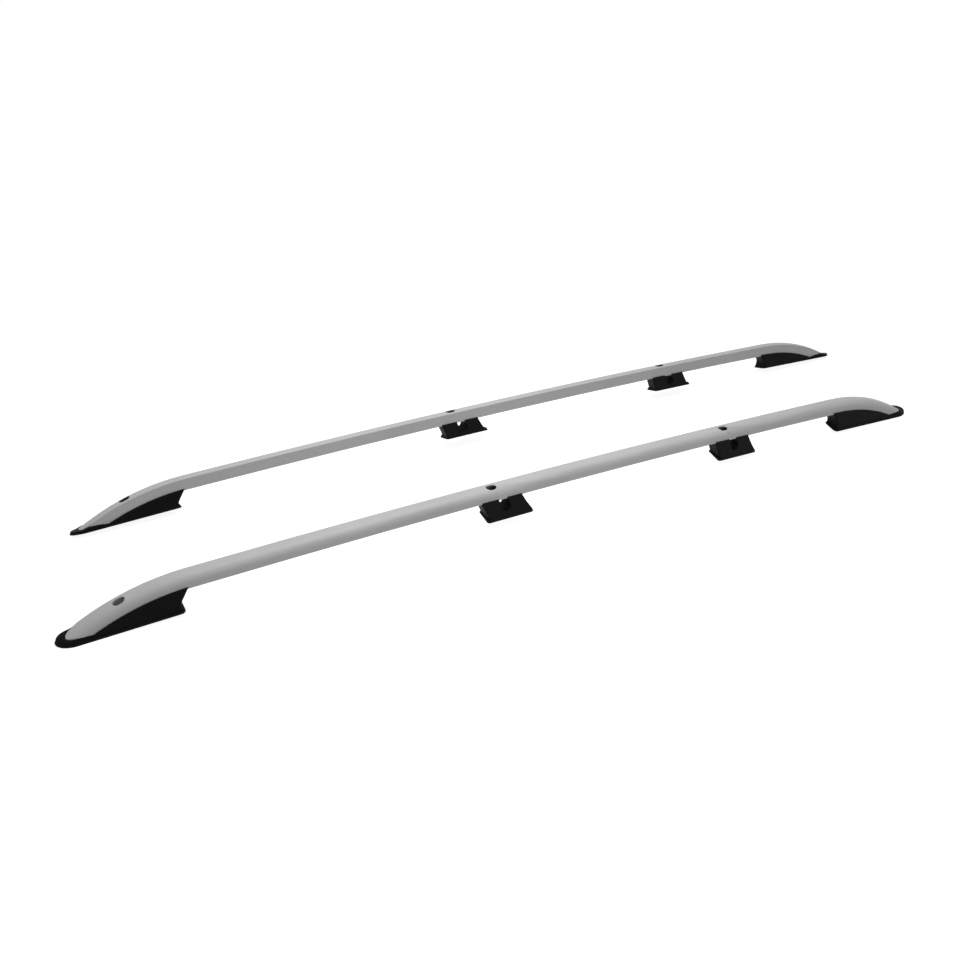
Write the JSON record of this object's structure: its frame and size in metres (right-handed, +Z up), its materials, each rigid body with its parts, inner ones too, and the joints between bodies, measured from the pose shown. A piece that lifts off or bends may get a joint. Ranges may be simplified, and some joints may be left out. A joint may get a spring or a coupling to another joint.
{
  "type": "roof side rail pair",
  "caption": "Pair of raised roof side rails for a van: arched aluminium tubes bent down to moulded end feet and carried on raked, notched middle supports.",
  "frame": {"origin": "middle of the pair at the height of the outer rim of the end feet's noses", "axes": "+X along the rails towards the front, +Y from the right rail to the left one, +Z up, away from the roof"},
  "size_m": [2.1, 0.4038, 0.0874],
  "materials": {
    "rail_aluminium": "satin silver anodised",
    "foot_plastic": "fine grained black moulding",
    "support_plastic": "fine grained black moulding",
    "seal_rubber": "matt black",
    "bush_steel": "zinc plated",
    "screw_steel": "zinc plated"
  },
  "bodies": {
    "root": {"right_rail_tube": "rail_aluminium", "right_rear_foot": "foot_plastic", "right_front_foot": "foot_plastic", "right_rear_foot_seal": "seal_rubber", "right_front_foot_seal": "seal_rubber", "right_rear_support": "support_plastic", "right_front_support": "support_plastic", "right_rear_support_seal": "seal_rubber", "right_front_support_seal": "seal_rubber", "right_rear_foot_bush": "bush_steel", "right_front_foot_insert": "bush_steel", "right_support_bushes": "bush_steel", "right_base_screws": "screw_steel", "left_rail_tube": "rail_aluminium", "left_rear_foot": "foot_plastic", "left_front_foot": "foot_plastic", "left_rear_foot_seal": "seal_rubber", "left_front_foot_seal": "seal_rubber", "left_rear_support": "support_plastic", "left_front_support": "support_plastic", "left_rear_support_seal": "seal_rubber", "left_front_support_seal": "seal_rubber", "left_rear_foot_bush": "bush_steel", "left_front_foot_insert": "bush_steel", "left_support_bushes": "bush_steel", "left_base_screws": "screw_steel"}
  },
  "joints": []
}
